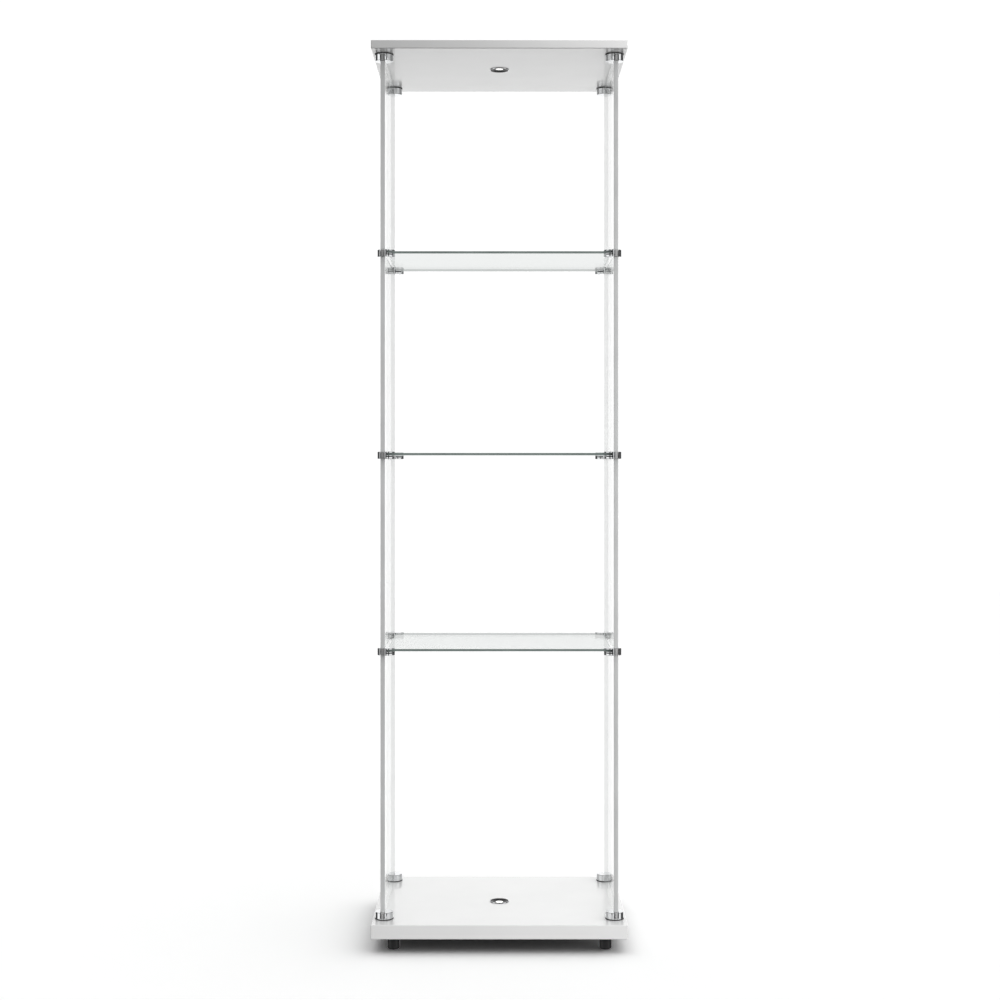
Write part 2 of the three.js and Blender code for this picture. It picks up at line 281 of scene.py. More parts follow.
def lens_glow():
    material, tree, output = new_material("frosted_lens")
    where = place(tree)
    prisms = node(tree, "ShaderNodeTexVoronoi", {"Vector": where, "Scale": 1.1}).outputs["Distance"]
    principled(tree, output, {
        "Base Color": (0.93, 0.93, 0.91, 1),
        "Roughness": between(tree, noise(tree, where, 1.5), 0.3, 0.45),
        "Normal": bump(tree, prisms, 0.3, 0.15),
        "Emission Color": (1.0, 0.985, 0.95, 1),
        "Emission Strength": 0.9,
    })
    return material


def facing(tree):
    """Cosine between the view and the surface, the same for both sides of the surface."""
    geometry = node(tree, "ShaderNodeNewGeometry")
    inputs = {0: geometry.outputs["Normal"], 1: geometry.outputs["Incoming"]}
    dot = node(tree, "ShaderNodeVectorMath", inputs, operation="DOT_PRODUCT").outputs["Value"]
    return maths(tree, "ABSOLUTE", dot)


def clear_glass(name, through, mirrored, grazing_share, even=0.0):
    """Broad face of a sheet, which mirrors more as the view grazes it and tints what is seen through it.

    The even share of what it mirrors is a painted reflection: a plain white glow, not a mirror, so that a
    dark flag never turns the sheet dark.
    """
    material, tree, output = new_material(name)
    away = maths(tree, "SUBTRACT", 1.0, facing(tree), clamp=True)
    grazing = maths(tree, "POWER", away, SCHLICK_POWER)
    added = maths(tree, "MULTIPLY", grazing, grazing_share)
    share = maths(tree, "ADD", added, FACE_ON_SHARE, clamp=True)
    lit = node(tree, "ShaderNodeLightPath").outputs["Is Shadow Ray"]
    share = maths(tree, "MULTIPLY", share, maths(tree, "SUBTRACT", 1.0, lit))
    where = place(tree)
    smear = between(tree, noise(tree, where, 0.01, 3.0), 0.0, 0.02)
    mirror = node(tree, "ShaderNodeBsdfGlossy", {"Color": (*mirrored, 1), "Roughness": smear})
    white = node(tree, "ShaderNodeEmission", {"Color": (*mirrored, 1), "Strength": PAINTED_GLOW_STRENGTH})
    mirror_and_painted_glow = node(tree, "ShaderNodeMixShader", {0: even, 1: mirror.outputs[0], 2: white.outputs[0]})
    clear = node(tree, "ShaderNodeBsdfTransparent", {"Color": (*through, 1)})
    mixed = node(tree, "ShaderNodeMixShader", {0: share, 1: clear.outputs[0], 2: mirror_and_painted_glow.outputs[0]})
    tree.links.new(mixed.outputs[0], output.inputs["Surface"])
    return material


def ground_edge(name, dark, light, roughness):
    """Edge of a sheet, ground and polished: the colour of the glass seen through its width."""
    material, tree, output = new_material(name)
    where = place(tree, (1, 1, 0.02))
    streak = noise(tree, where, 0.8, 3.0)
    depth = noise(tree, place(tree), 0.02, 2.0)
    principled(tree, output, {
        "Base Color": shade(tree, depth, dark, light),
        "Roughness": between(tree, streak, roughness, roughness + 0.1),
        "Coat Weight": 0.5,
        "Coat Roughness": 0.08,
        "Normal": bump(tree, streak, 0.15, 0.02),
    })
    return material


LACQUER = lacquer()
CHROME = chrome()
STEEL = turned_metal("zinc_steel", (0.46, 0.47, 0.48), (0.58, 0.59, 0.60), 0.24)
BRASS = turned_metal("brass", (0.55, 0.40, 0.17), (0.68, 0.51, 0.24), 0.26)
FOOT_COAT = moulded("foot_black", (0.010, 0.010, 0.011), (0.018, 0.018, 0.019), 0.38, 1.6, 0.02)
FELT = moulded("black_felt", (0.006, 0.006, 0.006), (0.014, 0.014, 0.014), 0.85, 2.5, 0.3)
RUBBER = moulded("black_rubber", (0.012, 0.012, 0.013), (0.022, 0.022, 0.023), 0.55, 2.0, 0.03)
# Near-black foil under the base board: painted shade, a dark sheet that keeps the floor in the gap under the
# base dark.
SHADE_FOIL = moulded("balancing_foil", (0.015, 0.015, 0.015), (0.025, 0.025, 0.025), 0.6, 0.6, 0.02)
BAFFLE = moulded("lamp_baffle", (0.012, 0.012, 0.013), (0.03, 0.03, 0.031), 0.35, 1.2, 0.02)
# The washers under the discs are drawn near-black: partly a real washer, partly painted shadow for the gap
# between each disc and its board.
WASHER = moulded("washer_painted_shadow_gap", (0.03, 0.03, 0.031), (0.05, 0.05, 0.051), 0.5, 2.0, 0.02)
CLEAR_LINER = moulded("clear_liner", (0.52, 0.53, 0.53), (0.60, 0.61, 0.61), 0.25, 1.5, 0.01)
GASKET = moulded("grey_gasket", (0.42, 0.42, 0.422), (0.52, 0.52, 0.522), 0.5, 2.0, 0.02)
HOUSING = moulded("dark_housing", (0.018, 0.018, 0.019), (0.03, 0.03, 0.031), 0.5, 1.4, 0.05)
CABLE = moulded("cable_sheath", (0.012, 0.012, 0.013), (0.02, 0.02, 0.021), 0.45, 1.8, 0.04)
LENS = lens_glow()
PANE_FACE = clear_glass("pane_glass", (0.99, 0.994, 0.992), (1.0, 1.0, 1.0), 0.6)
# the shelves take 0.6 of their reflection as the painted white glow
SHELF_FACE = clear_glass("shelf_glass", (0.975, 0.985, 0.98), (0.84, 0.85, 0.847), 0.96, 0.6)
PANE_EDGE = ground_edge("pane_edge", (0.80, 0.81, 0.807), (0.88, 0.89, 0.887), 0.2)
SHELF_EDGE = ground_edge("shelf_edge", (0.26, 0.315, 0.298), (0.33, 0.39, 0.37), 0.16)


# ---------- mesh building

ON_AXIS = 1e-6             # a point nearer the axis than this is drawn on it, mm


def mesh_object(name, shape):
    """An object from a bmesh drawn in millimetres."""
    bmesh.ops.scale(shape, vec=(MM, MM, MM), verts=shape.verts)
    mesh = bpy.data.meshes.new(name)
    shape.to_mesh(mesh)
    shape.free()
    made = bpy.data.objects.new(name, mesh)
    bpy.context.scene.collection.objects.link(made)
    return made


def fillet(corners, steps=4):
    """Points of an outline given as (radius, height, fillet radius), with each fillet as an arc."""
    points = []
    for index, (x, y, radius) in enumerate(corners):
        here = Vector((x, y))
        if radius <= 0 or index in (0, len(corners) - 1):
            points.append(here)
            continue
        back = (Vector(corners[index - 1][:2]) - here).normalized()
        ahead = (Vector(corners[index + 1][:2]) - here).normalized()
        half = back.angle(ahead) / 2
        middle = here + (back + ahead).normalized() * radius / math.sin(half)
        start = here + back * radius / math.tan(half) - middle
        end = here + ahead * radius / math.tan(half) - middle
        turn = start.angle(end)
        for step in range(steps + 1):
            share = step / steps
            first = start * math.sin((1 - share) * turn)
            last = end * math.sin(share * turn)
            points.append(middle + (first + last) / math.sin(turn))
    return points


def turned(outline, steps=ROUND):
    """A closed solid of revolution about Z. An outline off the axis closes on itself."""
    shape = bmesh.new()
    rings = []
    for radius, height in outline:
        if radius < ON_AXIS:
            rings.append([shape.verts.new((0, 0, height))])
            continue
        angles = [2 * math.pi * step / steps for step in range(steps)]
        rings.append([
            shape.verts.new((radius * math.cos(a), radius * math.sin(a), height)) for a in angles
        ])
    pairs = list(zip(rings, rings[1:]))
    if len(rings[0]) > 1:
        pairs.append((rings[-1], rings[0]))
    for lower, upper in pairs:
        for step in range(steps):
            ahead = (step + 1) % steps
            loop = list(dict.fromkeys([
                lower[step % len(lower)], lower[ahead % len(lower)],
                upper[ahead % len(upper)], upper[step % len(upper)],
            ]))
            if len(loop) > 2:
                shape.faces.new(loop)
    bmesh.ops.recalc_face_normals(shape, faces=shape.faces)
    return shape


def rod(radius, start, end, steps=SMALL_ROUND):
    return turned([(0, start), (radius, start), (radius, end), (0, end)], steps)


def box(low, high):
    shape = bmesh.new()
    bmesh.ops.create_cube(shape, size=1)
    low, high = Vector(low), Vector(high)
    for vertex in shape.verts:
        vertex.co = (low + high) / 2 + Vector(a * b for a, b in zip(vertex.co, high - low))
    return shape


def hexagon_rod(across_flats, start, end):
    radius = across_flats / math.sqrt(3)
    return rod(radius, start, end, 6)


def moved(shape, matrix):
    bmesh.ops.transform(shape, matrix=matrix, verts=shape.verts)
    return shape


def shifted(shape, x=0.0, y=0.0, z=0.0):
    return moved(shape, Matrix.Translation((x, y, z)))


def along_x(shape):
    return moved(shape, Matrix.Rotation(math.pi / 2, 4, "Y"))


def along_y(shape):
    return moved(shape, Matrix.Rotation(-math.pi / 2, 4, "X"))


def apply_modifiers(made):
    evaluated = made.evaluated_get(bpy.context.evaluated_depsgraph_get())
    mesh = bpy.data.meshes.new_from_object(evaluated)
    made.modifiers.clear()
    made.data = mesh


def combine_objects(made, cutters, operation):
    """Cuts, joins or intersects an object with others, and uses them up."""
    for cutter in cutters:
        modifier = made.modifiers.new("combine", "BOOLEAN")
        modifier.object = cutter
        modifier.operation = operation
        modifier.solver = "EXACT"
    apply_modifiers(made)
    for cutter in cutters:
        bpy.data.objects.remove(cutter)
    return made


def combine(made, tools, operation="DIFFERENCE"):
    """Cuts, joins or intersects an object with shapes drawn in millimetres."""
    return combine_objects(made, [mesh_object("cutter", tool) for tool in tools], operation)


def soften(made, width_mm, segments=2, angle=35):
    """Rounds every edge that is sharper than angle degrees."""
    modifier = made.modifiers.new("soften", "BEVEL")
    modifier.width = width_mm * MM
    modifier.segments = segments
    modifier.limit_method = "ANGLE"
    modifier.angle_limit = math.radians(angle)
    apply_modifiers(made)
    return made


def smooth(made, angle=32):
    made.data.shade_smooth()
    made.data.set_sharp_from_angle(angle=math.radians(angle))
    modifier = made.modifiers.new("even_shading", "WEIGHTED_NORMAL")
    modifier.keep_sharp = True


def set_materials(made, *materials):
    made.data.materials.clear()
    for material in materials:
        made.data.materials.append(material)


def settle(made, body, stands_for):
    """Gives a piece its shading, its body and the solids that it stands for."""
    smooth(made)
    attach(made, body)
    if stands_for:
        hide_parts(*stands_for)
    return made


def finish_piece(made, name, stands_for=()):
    made.name = name
    made.data.name = name
    return settle(made, "case", stands_for)


def copy_of(pattern, name, matrix, material, body="case", stands_for=()):
    """A copy of a pattern piece, which shares its mesh, placed by a matrix in metres."""
    made = bpy.data.objects.new(name, pattern.data)
    bpy.context.scene.collection.objects.link(made)
    made.matrix_world = matrix
    if not made.data.materials:
        made.data.materials.append(material)
    return settle(made, body, stands_for)


def remove(patterns):
    for pattern in patterns:
        bpy.data.objects.remove(pattern)


# ---------- boards

BOARD_FILLET = 1.2
SCREW_SHAFT = 2.5
SCREW_HEAD = 5.0
SCREW_HEAD_DEPTH = 2.5
HEAD_FIT = 0.35            # air round a screw's head
HEAD_SUNK = 0.25           # straight part of a countersink, and chamfer round a screw's head
SHAFT_FIT = 0.3
SHAFT_REACH = 40           # length of a screw hole's cutter, which passes right through a board
INSERT_RADIUS = 6.0
INSERT_BORE = 4.15
INSERT_POCKET = 21
POCKET_FIT = 0.25          # air round a lamp housing and a lead's socket
POCKET_END = 0.2           # how far a lamp's pocket runs past its housing
SQUARE_ON = 0.99           # a face whose normal reaches this along an axis lies square to it


def countersunk_hole(node_name, outer_face, into):
    """Cutter for one board screw, from the outer face inwards."""
    where = centre(node_name) / MM
    shape = turned([
        (0, -OVERRUN), (SCREW_HEAD + HEAD_FIT, -OVERRUN), (SCREW_HEAD + HEAD_FIT, HEAD_SUNK),
        (SCREW_SHAFT + SHAFT_FIT, SCREW_HEAD_DEPTH + SHAFT_FIT),
        (SCREW_SHAFT + SHAFT_FIT, SHAFT_REACH), (0, SHAFT_REACH),
    ], SMALL_ROUND)
    if into < 0:
        moved(shape, Matrix.Rotation(math.pi, 4, "X"))
    return shifted(shape, where.x, where.y, outer_face / MM)


def lamp_cutters(name):
    """Pocket of a lamp and the bores of its lead and socket, which open in the board's rear edge."""
    housing_low, housing_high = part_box(f"lamp_housing_{name}")
    lead_low, lead_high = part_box(f"lamp_lead_{name}")
    where = centre(f"lamp_housing_{name}") / MM
    radius = size(f"lamp_housing_{name}").x / 2 / MM + POCKET_FIT
    if name == "base":
        low, high = housing_low.z / MM, DECK / MM + OVERRUN
    else:
        low, high = CEILING / MM - OVERRUN, housing_high.z / MM
    pocket = shifted(rod(radius, low - POCKET_END, high + POCKET_END), where.x, where.y)
    socket_radius = (lead_high.z - lead_low.z) / 2 / MM
    lead_z = (lead_high.z + lead_low.z) / 2 / MM
    bore = along_y(rod(socket_radius + POCKET_FIT, where.y, BASE_HIGH.y / MM + OVERRUN))
    return [pocket, shifted(bore, where.x, 0, lead_z)]


def board(end, outer_face, into):
    node_name = f"{end}_board"
    low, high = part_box(node_name)
    shape = box(low / MM, high / MM)
    bmesh.ops.bevel(shape, geom=shape.edges, offset=BOARD_FILLET, segments=4, profile=0.5, affect="EDGES")
    made = mesh_object(node_name, shape)
    cutters = [countersunk_hole(f"{end}_screw_{corner}", outer_face, into) for corner in CORNERS]
    cutters += lamp_cutters(end)
    if end == "base":
        for corner in CORNERS:
            where = centre(f"foot_{corner}") / MM
            pocket = rod(INSERT_RADIUS, low.z / MM - OVERRUN, low.z / MM + INSERT_POCKET)
            cutters.append(shifted(pocket, where.x, where.y))
    combine(made, cutters)
    set_materials(made, LACQUER, SHADE_FOIL)
    # The base's underside gets the near-black foil, which deepens the shade in the gap under the base:
    # painted shade.
    if end == "base":
        for polygon in made.data.polygons:
            if polygon.normal.z < -SQUARE_ON and polygon.center.z < low.z + MM:
                polygon.material_index = 1
    finish_piece(made, f"{node_name}_lacquered", stands_for=[node_name])


# ---------- glass

PANE_ARRIS = 0.7
SHELF_ARRIS = 0.45
SHELF_CORNER = 3.0
FLAT = 0.995               # a broad face's normal reaches this along its own axis
RIM_TURN = 1.0             # faces that meet at more than this angle meet at a rim, radians


def sheet_materials(made, clear_axes, face, edge):
    """Gives the faces square to the clear axes one material, and the edges, arrises and holes another."""
    set_materials(made, face, edge)
    for polygon in made.data.polygons:
        clear = any(abs(polygon.normal[axis]) > FLAT for axis in clear_axes)
        polygon.material_index = 0 if clear else 1


def side_pane(name, side):
    low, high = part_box(name)
    shape = box(low / MM, high / MM)
    bmesh.ops.bevel(shape, geom=shape.edges, offset=PANE_ARRIS, segments=2, profile=0.4, affect="EDGES")
    made = mesh_object(name, shape)
    holes = []
    for level in LEVELS:
        height = centre(f"shelf_{level}").z / MM - STUD_DROP
        for corner in CORNERS:
            if side_of(corner) != side:
                continue
            y = centre(f"base_disc_{corner}").y / MM + inward_of(corner) * STUD_INSET
            hole = along_x(rod(BUSH_RADIUS + BUSH_FIT, low.x / MM - OVERRUN, high.x / MM + OVERRUN))
            holes.append(shifted(hole, 0, y, height))
    combine(made, holes)
    sheet_materials(made, (0, 2), PANE_FACE, PANE_EDGE)
    finish_piece(made, f"{name}_pane", stands_for=[name])


def rise(edge):
    return abs(edge.verts[0].co.z - edge.verts[1].co.z)


def shelf(name):
    low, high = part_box(name)
    shape = box(low / MM, high / MM)
    upright = [edge for edge in shape.edges if rise(edge) > 1]
    bmesh.ops.bevel(shape, geom=upright, offset=SHELF_CORNER, segments=8, profile=0.5, affect="EDGES")
    rims = [edge for edge in shape.edges if rise(edge) < 0.01 and edge.calc_face_angle(0) > RIM_TURN]
    bmesh.ops.bevel(shape, geom=rims, offset=SHELF_ARRIS, segments=2, profile=0.4, affect="EDGES")
    made = mesh_object(name, shape)
    sheet_materials(made, (2,), SHELF_FACE, SHELF_EDGE)
    finish_piece(made, f"{name}_sheet", stands_for=[name])


# ---------- screws and small hardware

CREST = (0.4, 0.6)         # where a thread's flat crest lies, in shares of the pitch
THREAD_DEPTH = 0.3         # in shares of the pitch
SCREW_PITCH = 0.8
SCREW_NECK = 0.6           # between the head and the thread
SCREW_TIP = 1.2
SCREW_SOCKET = 3.2         # across the flats
SCREW_SOCKET_DEPTH = 1.8
SET_PITCH = 0.5
SET_CHAMFER = 0.25
SET_START = 0.3            # where a set screw's thread starts
SET_POINT = 0.6            # in shares of the screw's radius, as the socket is
SET_SOCKET = 0.95
SET_SOCKET_DEPTH = 1.3
WASHER_FILLET = 0.35


def threaded(radius, pitch, start, end):
    """Outline points of a thread drawn as rings, from start to end."""
    points = []
    root = radius - THREAD_DEPTH * pitch
    turns = int(abs(end - start) / pitch)
    step = (end - start) / turns
    for turn in range(turns):
        at = start + turn * step
        points += [(root, at), (radius, at + CREST[0] * step), (radius, at + CREST[1] * step)]
    points.append((root, end))
    return points


def board_screw(length):
    """Countersunk socket screw standing on its head at z = 0."""
    outline = [
        (0, 0), (SCREW_HEAD - HEAD_SUNK, 0), (SCREW_HEAD, HEAD_SUNK), (SCREW_SHAFT, SCREW_HEAD_DEPTH),
        *threaded(SCREW_SHAFT, SCREW_PITCH, SCREW_HEAD_DEPTH + SCREW_NECK, length - SCREW_TIP),
        (SCREW_SHAFT - 1, length), (0, length),
    ]
    made = mesh_object("board_screw", turned(outline, SMALL_ROUND))
    combine(made, [hexagon_rod(SCREW_SOCKET, -OVERRUN, SCREW_SOCKET_DEPTH)])
    return soften(made, 0.1, angle=50)


def grub_screw(radius, length):
    """Socket set screw along +Z with its socket at z = 0."""
    outline = [
        (0, 0), (radius - SET_CHAMFER, 0), (radius, SET_CHAMFER),
        *threaded(radius, SET_PITCH, SET_START, length - SET_PITCH),
        (radius * SET_POINT, length), (0, length),
    ]
    made = mesh_object("grub_screw", turned(outline, SMALL_ROUND))
    return combine(made, [hexagon_rod(radius * SET_SOCKET, -OVERRUN, SET_SOCKET_DEPTH)])


def washer(inner, outer, height):
    return turned(fillet([
        (inner, 0, 0), (outer, 0, WASHER_FILLET), (outer, height, WASHER_FILLET), (inner, height, 0),
    ]))


# ---------- board discs

DISC_FILLET = 0.8
DISC_SEAT_FILLET = 0.4
TAPPED_END = 6.9           # height of the screw hole's end over the deck
TAPPED_FIT = 0.1
GRUB_RADIUS = 1.9
GRUB_FIT = 0.08
GRUB_LENGTH = 9.0
GRUB_HEIGHT = 9.3
GRUB_SUNK = 0.7
WASHER_PROUD = 0.5
WASHER_BORE = SCREW_SHAFT + 3
WASHER_SHORT = 0.05        # air left over a washer
GASKET_WIDTH = 4.4
LINER_SHORT = 0.5          # how far a liner stays inside its fitting
GASKET_SHORT = 0.4         # how far a gasket stays below a disc's top
GASKET_INSET = 0.6


def disc_body():
    """Slotted disc over the deck at z = 0, drawn for the right-hand side."""
    radius, seat, height = DISC_RADIUS, DISC_SEAT, DISC_HEIGHT
    outline = fillet([
        (0, seat, 0), (radius, seat, DISC_SEAT_FILLET), (radius, height, DISC_FILLET), (0, height, 0),
    ])
    made = mesh_object("disc_body", turned(outline))
    slot_low = PANE_INNER - DISC_X - SLOT_GAP
    slot_high = PANE_OUTER - DISC_X + SLOT_GAP
    floor = PANE_START - 2 * SLOT_GAP
    slot = box((slot_low, -radius - OVERRUN, floor), (slot_high, radius + OVERRUN, height + OVERRUN))
    screw_x = centre("base_screw_front_right").x / MM - DISC_X
    tapped = shifted(rod(SCREW_SHAFT + TAPPED_FIT, seat - OVERRUN, TAPPED_END), screw_x)
    grub = along_x(rod(GRUB_RADIUS + GRUB_FIT, -radius - OVERRUN, slot_low + OVERRUN))
    combine(made, [slot, tapped, shifted(grub, 0, 0, GRUB_HEIGHT)])
    return soften(made, SOFT_EDGE)


def gasket_profile(hand, centre_x, low, high, outline):
    """Gasket in a fitting's open slot: a narrow bar in front of the pane's edge."""
    edge = -hand * (FITTING_INSET + CLEAR)
    ahead = sorted((edge, -hand * 2 * FAR))
    half = GASKET_WIDTH / 2
    made = mesh_object("gasket", box((centre_x - half, ahead[0], low), (centre_x + half, ahead[1], high)))
    return combine(made, [outline], "INTERSECT")


def disc_liner(hand):
    """Clear channel that lines the sides and floor of a disc's slot, round the pane."""
    slot_low = PANE_INNER - DISC_X - SLOT_GAP + CLEAR
    slot_high = PANE_OUTER - DISC_X + SLOT_GAP - CLEAR
    floor = PANE_START - 2 * SLOT_GAP + CLEAR
    edge = -hand * FITTING_INSET
    inside = sorted((edge, hand * 2 * DISC_RADIUS))
    low = (slot_low, inside[0], floor)
    made = mesh_object("disc_liner", box(low, (slot_high, inside[1], DISC_HEIGHT - LINER_SHORT)))
    pane = box(
        (PANE_INNER - DISC_X - CLEAR, inside[0] - OVERRUN, PANE_START - CLEAR),
        (PANE_OUTER - DISC_X + CLEAR, inside[1] + OVERRUN, 2 * DISC_HEIGHT),
    )
    combine(made, [pane])
    return combine(made, [rod(DISC_RADIUS - LINER_SHORT, 0, 2 * DISC_HEIGHT, ROUND)], "INTERSECT")


def disc_gasket(hand):
    floor = PANE_START - 2 * SLOT_GAP + CLEAR
    middle = (PANE_INNER + PANE_OUTER) / 2 - DISC_X
    outline = rod(DISC_RADIUS - GASKET_INSET, 0, 2 * DISC_HEIGHT, ROUND)
    made = gasket_profile(hand, middle, floor, DISC_HEIGHT - GASKET_SHORT, outline)
    return soften(made, SOFT_EDGE, angle=60)


def disc_matrix(corner, turned_over):
    where = centre(f"base_disc_{corner}")
    face = CEILING if turned_over else DECK
    right = side_of(corner) > 0
    if turned_over:
        turn = Matrix.Rotation(math.pi, 4, "X" if right else "Y")
    else:
        turn = Matrix.Identity(4) if right else Matrix.Rotation(math.pi, 4, "Z")
    return Matrix.Translation((where.x, where.y, face)) @ turn


def add_discs():
    body = disc_body()
    liners = {hand: disc_liner(hand) for hand in (1, -1)}
    gaskets = {hand: disc_gasket(hand) for hand in (1, -1)}
    grub = grub_screw(GRUB_RADIUS, GRUB_LENGTH)
    pad_height = DISC_SEAT - WASHER_SHORT
    pad = mesh_object("pad", washer(WASHER_BORE, DISC_RADIUS + WASHER_PROUD, pad_height))
    grub_place = Matrix.Translation(((-DISC_RADIUS + GRUB_SUNK) * MM, 0, GRUB_HEIGHT * MM))
    grub_place = grub_place @ Matrix.Rotation(math.pi / 2, 4, "Y")
    for end in ("base", "top"):
        over = end == "top"
        for corner in CORNERS:
            hand = side_of(corner) * inward_of(corner) * (-1 if over else 1)
            at = disc_matrix(corner, over)
            name = f"{end}_disc_{corner}"
            copy_of(body, f"{name}_chromed", at, CHROME, stands_for=[name])
            copy_of(liners[hand], f"{name}_liner", at, CLEAR_LINER)
            copy_of(gaskets[hand], f"{name}_gasket", at, GASKET)
            copy_of(grub, f"{name}_grub", at @ grub_place, STEEL)
            # near-black washer under the disc, which paints the shadow gap at its foot
            copy_of(pad, f"{name}_washer", at, WASHER)
    remove([body, grub, pad, *liners.values(), *gaskets.values()])


def add_board_screws():
    for end, outer_face, turn in (("base", BASE_LOW.z, 0), ("top", TOP_HIGH.z, math.pi)):
        pattern = board_screw(size(f"{end}_screw_front_left").z / MM)
        for corner in CORNERS:
            name = f"{end}_screw_{corner}"
            where = centre(name)
            matrix = Matrix.Translation((where.x, where.y, outer_face)) @ Matrix.Rotation(turn, 4, "X")
            copy_of(pattern, f"{name}_threaded", matrix, STEEL, stands_for=[name])
        remove([pattern])


# ---------- shelf fittings

CLIP_FILLET = 0.6
CLIP_GRUB = 1.6
CLIP_GRUB_FIT = 0.06
CLIP_GRUB_LENGTH = 5.6
CLIP_GRUB_SUNK = 0.5
CLIP_GRUB_X = -8.0
STUD_HOLE_START = -11      # inner end of the stud's hole in a clip
STUD_OVERLAP = 0.6         # how far a stud runs into its cap
STUD_CHAMFER = 0.4
PAD_SHORT = 0.8            # how far a pad stays inside its fitting
SHELF_LINER_SHORT = 0.6
SHELF_GASKET_SHORT = 0.7
GRIP_LOW = -5.3
GRIP_HIGH = -3.2
GRIP_REACH = (-11.5, 0.6)  # stretch of X that the ring covers
GROOVE_DEPTH = 1.0
GRIP_DEPTH = 0.95
GRIP_SUNK = 0.35           # how far the ring stays below the chrome


def fitting_blank():
    return turned(fillet([
        (0, -CLIP_BELOW, 0), (CLIP_RADIUS, -CLIP_BELOW, CLIP_FILLET),
        (CLIP_RADIUS, CLIP_ABOVE, CLIP_FILLET), (0, CLIP_ABOVE, 0),
    ]))


def grip_ring(depth, proud):
    """Part ring low on a clip, between the shelf's jaw and the clip's foot."""
    ring = mesh_object("grip_ring", turned([
        (CLIP_RADIUS - depth, GRIP_LOW), (CLIP_RADIUS + proud, GRIP_LOW),
        (CLIP_RADIUS + proud, GRIP_HIGH), (CLIP_RADIUS - depth, GRIP_HIGH),
    ]))
    part = box((GRIP_REACH[0], -FAR, -FAR), (GRIP_REACH[1], FAR, FAR))
    return combine(ring, [part], "INTERSECT")


def shelf_clip(hand):
    """Inner part of a fitting, drawn for the right: a wall by the pane and jaws over and under the shelf."""
    made = mesh_object("shelf_clip", fitting_blank())
    outside = box((CLIP_FACE, -FAR, -FAR), (FAR, FAR, FAR))
    half = SHELF_HALF + SLOT_GAP
    slot = box((-FAR, -FAR, -half), (CLIP_FACE - CLIP_WALL, FAR, half))
    stud = along_x(rod(STUD_RADIUS + STUD_FIT, STUD_HOLE_START, FAR))
    grub = shifted(rod(CLIP_GRUB + CLIP_GRUB_FIT, -FAR, 0), CLIP_GRUB_X)
    combine(made, [outside, slot, shifted(stud, 0, hand * STUD_INSET, -STUD_DROP), grub])
    soften(made, SOFT_EDGE)
    return combine_objects(made, [grip_ring(GROOVE_DEPTH, OVERRUN)], "DIFFERENCE")


def shelf_liner(hand):
    """Clear lining between the jaws and the shelf, which ends at the shelf's edge."""
    half = SHELF_HALF + SLOT_GAP - CLEAR
    inner_wall = CLIP_FACE - CLIP_WALL - CLEAR
    edge = -hand * FITTING_INSET
    inside = sorted((edge, hand * FAR))
    made = mesh_object("shelf_liner", box((-FAR, inside[0], -half), (inner_wall, inside[1], half)))
    shelf_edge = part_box("shelf_lower")[1].x / MM - CLIP_X + CLEAR
    shelf_half = SHELF_HALF + CLEAR
    low = (-FAR - OVERRUN, inside[0] - OVERRUN, -shelf_half)
    combine(made, [box(low, (shelf_edge, inside[1] + OVERRUN, shelf_half))])
    return combine(made, [rod(CLIP_RADIUS - SHELF_LINER_SHORT, -FAR, FAR, ROUND)], "INTERSECT")


def shelf_gasket(hand):
    """Bar in front of the pane's edge, between a clip and its cap."""
    middle = (PANE_INNER + PANE_OUTER) / 2 - CLIP_X
    outline = rod(CLIP_RADIUS - SHELF_GASKET_SHORT, -FAR, FAR, ROUND)
    low, high = SOFT_EDGE - CLIP_BELOW, CLIP_ABOVE - SOFT_EDGE
    return soften(gasket_profile(hand, middle, low, high, outline), SOFT_EDGE, angle=60)


def shelf_cap(hand):
    """Outer part of a fitting, with the stud that passes through the pane into the clip."""
    face = PANE_OUTER - CLIP_X + SLOT_GAP
    made = mesh_object("shelf_cap", fitting_blank())
    combine(made, [box((-FAR, -FAR, -FAR), (face, FAR, FAR))])
    soften(made, SOFT_EDGE)
    end = STUD_LENGTH + STUD_OVERLAP
    stud = turned([
        (0, 0), (STUD_RADIUS - STUD_CHAMFER, 0), (STUD_RADIUS, STUD_CHAMFER),
        (STUD_RADIUS, end), (0, end),
    ], SMALL_ROUND)
    stud = shifted(along_x(stud), face - STUD_LENGTH, hand * STUD_INSET, -STUD_DROP)
    return combine(made, [stud], "UNION")


def pane_pad(start, end, hand):
    """Thin clear pad between a fitting's flat face and the pane, with a hole for the stud."""
    made = mesh_object("pane_pad", box((start, -FAR, -FAR), (end, FAR, FAR)))
    radius = CLIP_RADIUS - PAD_SHORT
    combine(made, [rod(radius, PAD_SHORT - CLIP_BELOW, CLIP_ABOVE - PAD_SHORT, ROUND)], "INTERSECT")
    hole = along_x(rod(STUD_RADIUS + STUD_FIT, start - OVERRUN, end + OVERRUN))
    return combine(made, [shifted(hole, 0, hand * STUD_INSET, -STUD_DROP)])


def stud_bush():
    """Nylon bush round the stud inside the pane's hole, along +X from the inner face."""
    bore = STUD_RADIUS + STUD_FIT
    end = PANE_OUTER - PANE_INNER - BUSH_SHORT
    return mesh_object("stud_bush", along_x(turned([
        (bore, BUSH_SHORT), (BUSH_RADIUS, BUSH_SHORT), (BUSH_RADIUS, end), (bore, end),
    ], SMALL_ROUND)))


